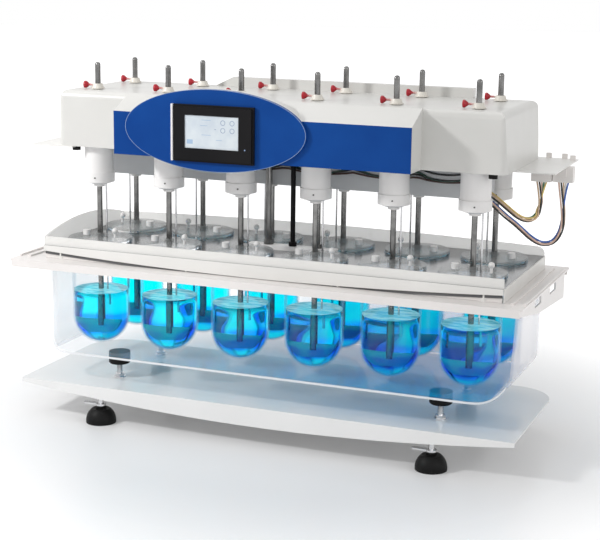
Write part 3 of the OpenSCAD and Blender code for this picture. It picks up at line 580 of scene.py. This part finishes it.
def tray_faces(centre, normal):
    """Steel on top of the deck, frosted flaps at the left and the rear, and paint elsewhere."""
    if abs(centre.z - DECK_Z) < ON_DECK and normal.z > FACING:
        return 1
    at_edge = centre.x < TRAY_LOW.x + FLAP_REACH or centre.y > TRAY_HIGH.y - FLAP_REACH
    return 2 if centre.z > DECK_Z and at_edge else 0


def bath_faces(centre, normal):
    """Clear front, hazy ends and rim, and a floor and a rear with the blue of light through the liquid
    painted on them.
    """
    below_rim = centre.z < BATH_RIM_FROM
    if abs(normal.z) > FACING and centre.z < BATH_FLOOR_TO:
        return 2
    if normal.y < -FACING and centre.y > 0 and below_rim:
        return 3
    return 0 if abs(normal.y) > BATH_SIDE_FACING and below_rim else 1


def support_faces(centre, normal):
    """Rubber pads on bright studs."""
    return 1 if centre.z > PAD_LOW - MARGIN else 0


def lift_faces(centre, normal):
    """Steel guide tubes, a black strut tube, and plastic round them."""
    if math.hypot(centre.x, centre.y) < STRUT_REACH:
        return 1
    return 0 if math.hypot(abs(centre.x) - GUIDE_X, centre.y) < GUIDE_REACH else 2


def chassis_faces(centre, normal):
    """Rubber stops under the ends of the painted plate."""
    return 1 if abs(centre.x) > STOP_FROM_X and centre.z < HEAD_Z - MARGIN else 0


def display_faces(centre, normal):
    """Screen glass on the sunk face, and black plastic elsewhere."""
    sunk = centre.y - DISPLAY_FRONT
    return 1 if abs(sunk - SCREEN_SUNK) < ON_SCREEN and normal.y < -FACING else 0


def spindle_faces(n):
    """Choice for spindle n: steel shaft, cream collar, red thumbscrew, and a blade painted paler than the
    steel as painted light.
    """
    x, y = station(n)

    def pick(centre, normal):
        if centre.z > HEAD_TOP and centre.x - x < -SCREW_FROM and abs(centre.y - y) < SCREW_HALF:
            return 2
        if math.hypot(centre.x - x, centre.y - y) > SHAFT_REACH and centre.z > COLLAR_FROM_Z:
            return 1
        return 3 if centre.z < BLADE_TOP else 0

    return pick


def cover_faces(n):
    """Choice for cover n: clear disc and bush, white plug and knob."""
    x, y = station(n)
    disc_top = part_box(f"vessel_{n}")[1].z + COVER_SEAT + COVER_T

    def pick(centre, normal):
        reach = math.hypot(centre.x - x, centre.y - y)
        return 1 if centre.z > disc_top + MARGIN and reach > BUSH_REACH else 0

    return pick


ONE_FINISH = {
    "base_plate": PLATE_PAINT,
    "bath_frame": FRAME_PAINT,
    "head_housing": SHADED_WHITE_PLASTIC,
    "front_panel": BLUE_PANEL,
    "drive_belt": BELT,
    "drive_motor": MOTOR,
    "motor_pulley": STEEL,
    "lift_rods": STEEL,
    "sampling_tubes": TUBE_STEEL,
    "side_wings": WHITE_PAINT,
    "harness_connectors": CONNECTOR,
    "spindle_housings": HUB_PLASTIC,
}


def paint_nodes():
    """Paints every CAD node except the two bundles, which the wires replace."""
    for node, material in ONE_FINISH.items():
        paint(node, material)
    paint("vessel_tray", WHITE_PAINT, DECK_STEEL, FROSTED, pick=tray_faces)
    paint("water_bath", BATH_CLEAR, BATH_HAZE, BATH_FLOOR, BATH_REAR, pick=bath_faces)
    paint("bath_supports", CHROME, RUBBER, pick=support_faces)
    paint("lift_tubes", STEEL, BLACK_PLASTIC, HUB_PLASTIC, pick=lift_faces)
    paint("head_chassis", GREY_PAINT, RUBBER, pick=chassis_faces)
    paint("touch_display", BLACK_PLASTIC, SCREEN, pick=display_faces)
    for n in STATIONS:
        paint(f"vessel_{n}", GLASS)
        paint(f"spindle_{n}", STEEL, CREAM, RED, LIT_BLADE_STEEL, pick=spindle_faces(n))
        paint(f"cover_{n}", ACRYLIC, HUB_PLASTIC, pick=cover_faces(n))
    for n in FEET:
        paint(f"foot_{n}", RUBBER, CHROME, PLATE_PAINT, pick=foot_faces)


paint_nodes()


# Trim of the head. Each icon has its shares of the screen's width and height, from the upper left corner, and
# each mark has those and then its half width as a share and its half height in metres

LINE_T = 0.00015
LINE_OUT = 0.0002
OVAL_HIGHLIGHT_W = 0.0008
BLOCK_BEVEL = 0.22
SEAT = 0.0001
SIDE_STRIP_W = 0.004
SIDE_STRIP_SUNK = 0.0005
LAMP_X = -0.015
LAMP_Z = 0.524
LAMP_R = 0.0013
LAMP_T = 0.0004
ICON_R = 0.0044
ICON_LINE_W = 0.0009
ICON_STEPS = 32
ICONS = [(0.71, 0.19), (0.88, 0.19), (0.71, 0.42), (0.88, 0.42)]
MARKS = [
    ("screen_mark_1", (0.57, 0.40), (0.030, 0.0005), SCREEN_MARK),
    ("screen_mark_2", (0.40, 0.13), (0.17, 0.0004), SCREEN_BLOCK),
    ("screen_mark_3", (0.36, 0.30), (0.13, 0.0004), SCREEN_BLOCK),
    ("screen_mark_4", (0.40, 0.58), (0.17, 0.0004), SCREEN_BLOCK),
    ("screen_mark_5", (0.64, 0.72), (0.11, 0.0004), SCREEN_BLOCK),
    ("screen_button", (0.095, 0.805), (0.11, 0.00364), SCREEN_BLOCK),
]
HUB_SCREW_RIGHT = 0.006
HUB_SCREW_IN = 0.0004
HUB_SCREW_Z = HEAD_Z - 0.058
HUB_SCREW_R = 0.0014
HUB_SCREW_LEN = 0.0018
TAB_HALF = (0.005, 0.002)
TAB_LOW = HEAD_Z - 0.0024
TAB_HIGH = HEAD_Z + 0.009
TABS = [(0.430, 0.136), (0.458, 0.136), (0.476, 0.118)]


def loft(bm, sections, closed=False):
    """Skin over a row of equal closed sections, capped at both ends unless the row closes on itself."""
    rings = [[bm.verts.new(p) for p in section] for section in sections]
    if closed:
        rings.append(rings[0])
    else:
        bm.faces.new(rings[0])
        bm.faces.new(rings[-1])
    for a, b in zip(rings, rings[1:]):
        for k in range(len(a)):
            after = (k + 1) % len(a)
            bm.faces.new((a[k], a[after], b[after], b[k]))
    bmesh.ops.recalc_face_normals(bm, faces=bm.faces[:])


def add_ring(name, centre, half, width, y, slot, material, count=128):
    """Flat elliptical line on the head that faces the front."""
    sections = []
    for k in range(count):
        turn = 2 * math.pi * k / count
        outer, inner = [(centre[0] + (half[0] - inset) * math.cos(turn),
                         centre[1] + (half[1] - inset) * math.sin(turn)) for inset in (0.0, width)]
        sections.append([(outer[0], y, outer[1]), (inner[0], y, inner[1]),
                         (inner[0], y + LINE_T, inner[1]), (outer[0], y + LINE_T, outer[1])])
    bm = bmesh.new()
    loft(bm, sections, closed=True)
    add_piece(mesh_object(name, bm), "head", slot, material)


def add_block(name, low, high, slot, material):
    """Block on the head between two corners, with its edges eased."""
    bm = bmesh.new()
    bmesh.ops.create_cube(bm, size=1.0)
    for vert in bm.verts:
        vert.co = Vector([low[i] if vert.co[i] < 0 else high[i] for i in range(3)])
    thin = min(high[i] - low[i] for i in range(3))
    bmesh.ops.bevel(bm, geom=bm.edges[:], offset=BLOCK_BEVEL * thin, segments=2, profile=0.5, affect="EDGES")
    add_piece(mesh_object(name, bm), "head", slot, material)


def add_discs(name, places, radius, depth, slot, material):
    """Short round studs on the head that face the front, all in one piece."""
    bm = bmesh.new()
    for place in places:
        matrix = Matrix.Translation(place) @ Matrix.Rotation(math.pi / 2, 4, "X")
        bmesh.ops.create_cone(bm, cap_ends=True, segments=20, radius1=radius, radius2=radius, depth=depth,
                              matrix=matrix)
    add_piece(mesh_object(name, bm), "head", slot, material)


def on_screen(across, down):
    """Place on the screen, from shares of its width and height."""
    return SCREEN_X + (2 * across - 1) * SCREEN_HALF[0], SCREEN_Z + (1 - 2 * down) * SCREEN_HALF[1]


def add_display_trim():
    """Pale strip beside the bezel as a painted highlight on its left edge, lamp on the bezel, and generic
    icons, lines and a button on the screen.
    """
    left = BEZEL_X - BEZEL_HALF[0]
    # Painted highlight: the pale strip stands for light caught on the bezel's left edge.
    add_block("display_edge_highlight",
              (left - SIDE_STRIP_W, BEZEL_FRONT + SIDE_STRIP_SUNK, BEZEL_Z - BEZEL_HALF[1]),
              (left - SEAT, OVAL_Y - SEAT, BEZEL_Z + BEZEL_HALF[1]), "white_plastic", HUB_PLASTIC)
    add_discs("display_lamp", [(LAMP_X, BEZEL_FRONT - SEAT, LAMP_Z)], LAMP_R, LAMP_T, "white_plastic",
              TRIM_LIGHT)
    mark_y = SCREEN_FRONT - LINE_OUT
    for k, icon in enumerate(ICONS):
        add_ring(f"screen_icon_{k + 1}", on_screen(*icon), (ICON_R, ICON_R), ICON_LINE_W, mark_y,
                 "black_plastic", SCREEN_MARK, ICON_STEPS)
    for name, place, (wide, high), material in MARKS:
        x, z = on_screen(*place)
        half = wide * SCREEN_HALF[0]
        add_block(name, (x - half, mark_y, z - high), (x + half, mark_y + LINE_T, z + high), "black_plastic",
                  material)


def add_hub_screws():
    """One small screw on the front of each spindle housing."""
    places = []
    for n in STATIONS:
        x, y = station(n)
        places.append((x + HUB_SCREW_RIGHT, y - HUB_RING_R + HUB_SCREW_IN, HUB_SCREW_Z))
    add_discs("hub_screws", places, HUB_SCREW_R, HUB_SCREW_LEN, "steel", SCREW_DARK)


def add_wing_tabs():
    """Small upright tabs on the right wing."""
    for k, (x, y) in enumerate(TABS):
        add_block(f"wing_tab_{k + 1}", (x - TAB_HALF[0], y - TAB_HALF[1], TAB_LOW),
                  (x + TAB_HALF[0], y + TAB_HALF[1], TAB_HIGH), "connector_plastic", CONNECTOR)


# Trim of the stand

EDGE_STEPS = 120
EDGE_SHORT = 0.006
EDGE_RISE = (0.0002, 0.0040)
EDGE_OUT = (0.0003, 0.0001)
FRAME_GAP = 0.0003
RETURN_GAP = 0.0002
RETURN_T = 0.0015
RETURN_SHORT = 0.003
RETURN_BEVEL = 0.0003
STRIP_STEPS = 60
STRIP_T = 0.0014
STRIP_SHORT = 0.002
STRIP_BEHIND = 0.003
SHADE_STRIP_SHOWS = 0.0055


def bath_edge_point(x):
    """Depth and height of the bath's lower front edge, x from the bath's middle."""
    straight = BATH_X - BATH_CORNER
    flat = BATH_X - BATH_DRAFT - BATH_BEND
    reach = max(0.0, abs(x) - straight)
    rise = max(0.0, abs(x) - flat)
    y = -BATH_Y + BATH_CORNER - math.sqrt(BATH_CORNER ** 2 - reach ** 2)
    z = BATH_Z + BATH_BEND - math.sqrt(max(0.0, BATH_BEND ** 2 - rise ** 2))
    return y, z


def add_bath_edge_highlight():
    """Painted highlight on the bath's lower edge: a bright strip along its front and round its corners."""
    end = BATH_X - BATH_DRAFT - EDGE_SHORT
    sections = []
    for k in range(EDGE_STEPS + 1):
        x = end * math.sin(math.pi * (k / EDGE_STEPS - 0.5))
        y, z = bath_edge_point(x)
        out = Vector((max(0.0, abs(x) - BATH_X + BATH_CORNER) * math.copysign(1.0, x),
                      y + BATH_Y - BATH_CORNER, 0.0)).normalized()
        foot, top = [Vector((x - BATH_LEFT, y, z + rise)) for rise in EDGE_RISE]
        outer, inner = [out * reach for reach in EDGE_OUT]
        sections.append([foot + outer, top + outer, top + inner, foot + inner])
    bm = bmesh.new()
    loft(bm, sections)
    add_piece(mesh_object("bath_edge_highlight", bm), "stand", "clear_plastic", BATH_EDGE_HIGHLIGHT)


def add_tray_return():
    """Folded sheet outside the tray's rear and right edges, down to the bath frame."""
    rear = TRAY_HIGH.y + RETURN_GAP
    right = TRAY_HIGH.x + RETURN_GAP
    front = TRAY_LOW.y + RETURN_SHORT
    plan = [(TRAY_LOW.x, rear), (TRAY_LOW.x, rear + RETURN_T), (right + RETURN_T, rear + RETURN_T),
            (right + RETURN_T, front), (right, front), (right, rear)]
    bm = bmesh.new()
    loft(bm, [[(x, y, z) for x, y in plan] for z in (FRAME_TOP + FRAME_GAP, DECK_Z - RETURN_GAP)])
    bmesh.ops.bevel(bm, geom=bm.edges[:], offset=RETURN_BEVEL, segments=2, profile=0.5, affect="EDGES")
    add_piece(mesh_object("tray_return", bm), "stand", "white_paint", WHITE_PAINT)


def add_skirt_strip(name, back, shows, slot, material):
    """Strip a little behind the bowed lower edge of the tray's front skirt, which shows below it."""
    bow = SKIRT_MID - SKIRT_END
    bow_r = (TRAY_X ** 2 + bow ** 2) / (2 * bow)
    end = TRAY_X - STRIP_SHORT
    front = SKIRT_BACK + back
    rear = front + STRIP_T
    sections = []
    for k in range(STRIP_STEPS + 1):
        x = end * (2 * k / STRIP_STEPS - 1)
        edge = DECK_Z - SKIRT_MID + bow_r - math.sqrt(bow_r ** 2 - x ** 2)
        low = max(FRAME_TOP + FRAME_GAP, edge - shows)
        high = edge + STRIP_BEHIND
        sections.append([(x, front, low), (x, front, high), (x, rear, high), (x, rear, low)])
    bm = bmesh.new()
    loft(bm, sections)
    add_piece(mesh_object(name, bm), "stand", slot, material)


# Painted highlight: a thin pale line round the raised oval plate's edge.
add_ring("oval_edge_highlight", (OVAL_X, OVAL_Z), OVAL_HALF, OVAL_HIGHLIGHT_W, OVAL_Y - LINE_OUT, "blue_panel", TRIM_LIGHT)
add_display_trim()
add_bath_edge_highlight()
add_tray_return()
# Painted shade: a dark strip shows as the shadow in the gap under the tray's front skirt.
add_skirt_strip("tray_gap_shade", back=0.0002, shows=SHADE_STRIP_SHOWS, slot="black_rubber", material=GAP_SHADE_STRIP)
add_skirt_strip("tray_upstand", back=0.0018, shows=SKIRT_MID, slot="white_paint", material=FRAME_PAINT)
add_hub_screws()
add_wing_tabs()


# Liquid, with a level of its own in each vessel of the front row

LIQUID_TOPS = (0.232, 0.234, 0.234, 0.237, 0.241, 0.239)
REAR_LIQUID_TOP = 0.244
LIQUID_GAP = 0.0002
LIQUID_R = VESSEL_R - GLASS_T - LIQUID_GAP
TOP_INSET = 0.0015
BOWL_STEPS = 16
WALL_STEPS = 4
TURN_STEPS = 64


def lathe(bm, profile, centre):
    """Turns a profile of (radius, height) points round a vertical axis."""
    rings = []
    for radius, height in profile:
        if radius < 1e-6:
            rings.append([bm.verts.new((*centre, height))])
            continue
        ring = []
        for k in range(TURN_STEPS):
            turn = 2 * math.pi * k / TURN_STEPS
            x = centre[0] + radius * math.cos(turn)
            y = centre[1] + radius * math.sin(turn)
            ring.append(bm.verts.new((x, y, height)))
        rings.append(ring)
    for low, high in zip(rings, rings[1:]):
        for k in range(TURN_STEPS):
            a = low[k % len(low)]
            b = low[(k + 1) % len(low)]
            c = high[(k + 1) % len(high)]
            d = high[k % len(high)]
            bm.faces.new(list(dict.fromkeys((a, b, c, d))))


def add_liquid(n):
    """Liquid in vessel n, up to its level."""
    centre_z = VESSEL_BOTTOM + VESSEL_R
    top = LIQUID_TOPS[n - 1] if n <= COLUMNS else REAR_LIQUID_TOP
    profile = [(0.0, centre_z - LIQUID_R)]
    for k in range(1, BOWL_STEPS + 1):
        angle = math.pi / 2 * k / BOWL_STEPS
        profile.append((LIQUID_R * math.sin(angle), centre_z - LIQUID_R * math.cos(angle)))
    profile += [(LIQUID_R, centre_z + (top - centre_z) * k / WALL_STEPS) for k in range(1, WALL_STEPS + 1)]
    profile += [(LIQUID_R - TOP_INSET, top), (0.0, top)]
    bm = bmesh.new()
    lathe(bm, profile, station(n))
    bmesh.ops.recalc_face_normals(bm, faces=bm.faces)
    for face in bm.faces:
        face.material_index = 1 if face.normal.z > FACING else 0
    add_piece(mesh_object(f"liquid_{n}", bm, smooth=True), "stand", "glass", LIQUID, SURFACE)


for station_number in STATIONS:
    add_liquid(station_number)


# Studio

WORLD_LIGHT = 0.44
FLOOR_R = 14.0
FLOOR_GLOW = (0.03, 0.64)
FLOOR_GLOW_REACH = (0.36, 1.18)


def looking_ray(tree):
    """One where a ray comes from the camera, a reflection or glass."""
    path = new_node(tree, "LightPath")
    first = new_node(tree, "Math", "MAXIMUM")
    second = new_node(tree, "Math", "MAXIMUM")
    tree.links.new(path.outputs["Is Camera Ray"], first.inputs[0])
    tree.links.new(path.outputs["Is Glossy Ray"], first.inputs[1])
    tree.links.new(first.outputs[0], second.inputs[0])
    tree.links.new(path.outputs["Is Transmission Ray"], second.inputs[1])
    return second.outputs[0]


def add_world():
    """World that looks white and lights the scene less than it looks."""
    world = bpy.data.worlds.new("studio")
    bpy.context.scene.world = world
    world.use_nodes = True
    tree = world.node_tree
    tree.nodes.clear()
    light = new_node(tree, "Background", Color=WHITE, Strength=WORLD_LIGHT)
    seen = new_node(tree, "Background", Color=WHITE, Strength=1.0)
    mix = new_node(tree, "MixShader")
    out = new_node(tree, "OutputWorld")
    tree.links.new(looking_ray(tree), mix.inputs["Fac"])
    tree.links.new(light.outputs[0], mix.inputs[1])
    tree.links.new(seen.outputs[0], mix.inputs[2])
    tree.links.new(mix.outputs[0], out.inputs["Surface"])


def floor_material():
    """Pale floor that grows whiter away from the object."""
    n = Nodes("pale_floor")
    n.set(Base_Color=(0.86, 0.86, 0.865, 1.0), Roughness=0.30, Specular_IOR_Level=0.35, Emission_Color=WHITE)
    reach = n.new("VectorMath", "LENGTH")
    n.link(n.coords.outputs["Object"], reach.inputs[0])
    glow = n.new("MapRange", From_Min=FLOOR_GLOW_REACH[0], From_Max=FLOOR_GLOW_REACH[1],
                 To_Min=FLOOR_GLOW[0], To_Max=FLOOR_GLOW[1])
    glow.interpolation_type = "SMOOTHSTEP"
    n.link(reach.outputs["Value"], glow.inputs["Value"])
    strength = n.new("Math", "MULTIPLY")
    n.link(looking_ray(n.tree), strength.inputs[0])
    n.link(glow.outputs["Result"], strength.inputs[1])
    n.feed(strength.outputs[0], "Emission Strength")
    return n.material


def add_floor():
    """Round floor under the object, which is no piece of it."""
    bm = bmesh.new()
    bmesh.ops.create_circle(bm, cap_ends=True, radius=FLOOR_R, segments=96)
    floor = mesh_object("floor", bm)
    bpy.context.scene.collection.objects.link(floor)
    floor.data.materials.append(floor_material())


def add_softbox(name, place, aim, size, power):
    """Rectangular lamp at a place, turned to its aim."""
    data = bpy.data.lights.new(name, "AREA")
    data.shape = "RECTANGLE"
    data.size, data.size_y = size
    data.energy = power
    lamp = bpy.data.objects.new(name, data)
    bpy.context.scene.collection.objects.link(lamp)
    lamp.location = place
    lamp.rotation_euler = (Vector(aim) - Vector(place)).to_track_quat("-Z", "Y").to_euler()


add_world()
add_floor()
add_softbox("key", place=(-1.2, -1.05, 1.25), aim=(0.0, 0.0, 0.45), size=(0.22, 0.22), power=16.0)
add_softbox("fill", place=(2.6, -0.7, 1.3), aim=(0.2, 0.0, 0.4), size=(1.6, 1.4), power=14.5)
add_softbox("front", place=(0.6, -3.2, 1.6), aim=(0.0, 0.0, 0.30), size=(2.4, 1.4), power=9.0)
add_softbox("top", place=(-0.5, 0.3, 2.6), aim=(0.0, 0.0, 0.5), size=(2.0, 1.4), power=12.0)

scene = bpy.context.scene
scene.view_settings.view_transform = "Standard"
scene.cycles.max_bounces = 20
scene.cycles.transmission_bounces = 16
scene.cycles.transparent_max_bounces = 32
